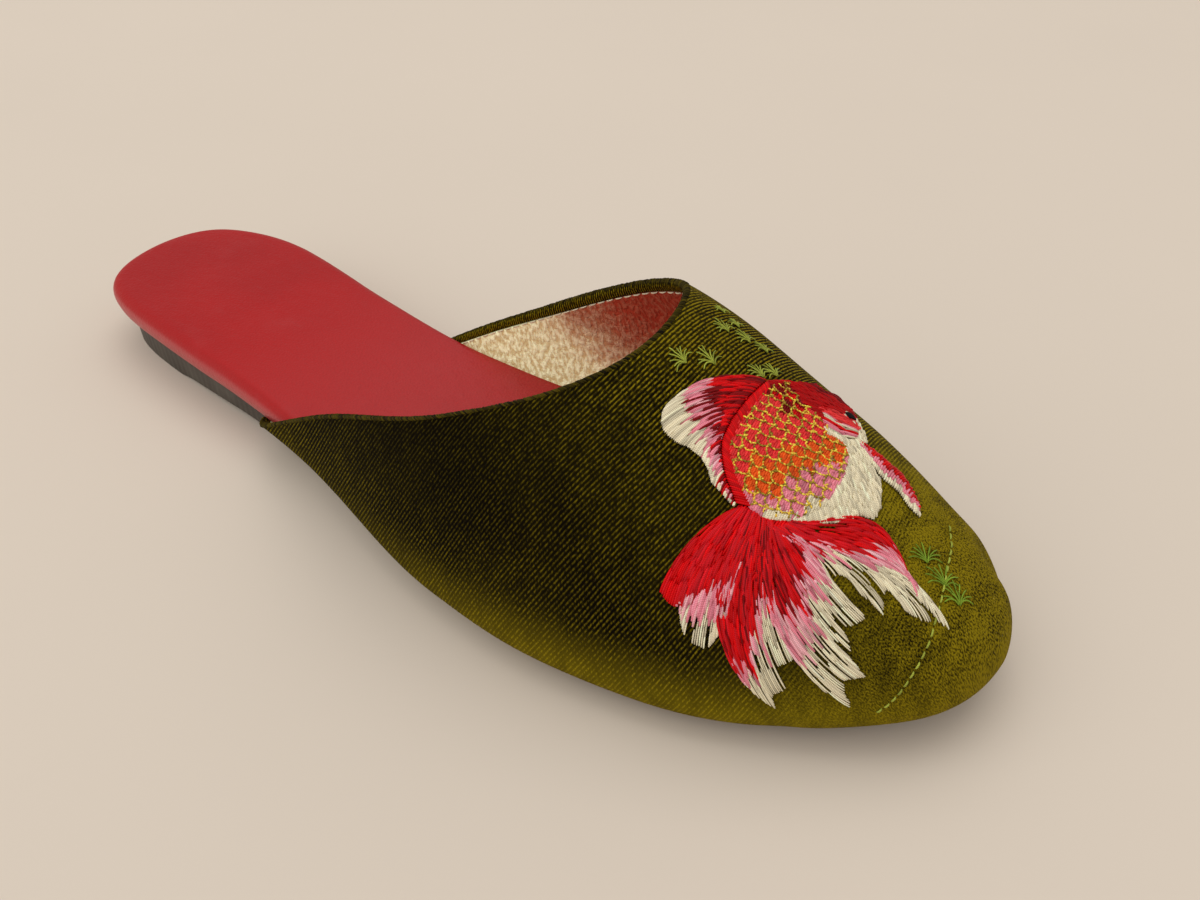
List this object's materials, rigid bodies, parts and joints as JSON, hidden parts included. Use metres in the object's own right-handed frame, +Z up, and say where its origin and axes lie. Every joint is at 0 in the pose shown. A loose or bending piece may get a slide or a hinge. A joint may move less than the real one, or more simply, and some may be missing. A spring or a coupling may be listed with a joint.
{
  "type": "babouche slipper",
  "caption": "Flat open-heeled slipper for the right foot with an embroidered velvet upper, a leather-lined vamp, a padded leather footbed and a thin rubber outsole with a low heel.",
  "frame": {"origin": "middle of the slipper's outline on the floor it stands on", "axes": "+X from the heel to the toe, +Y to the inner side of the right foot, +Z up"},
  "size_m": [0.2474, 0.0842, 0.06],
  "materials": {
    "outsole_rubber": "matt black moulded rubber",
    "footbed_leather": "fine-grained red leather, satin",
    "upper_velvet": "olive-green finely ribbed stretch velvet",
    "lining_leather": "crinkled pale gold metallic leather",
    "embroidery_thread": "glossy satin-stitch thread in red, pink, cream, gold and green"
  },
  "bodies": {
    "root": {"outsole": "outsole_rubber", "footbed": "footbed_leather", "upper": "upper_velvet"}
  },
  "joints": []
}
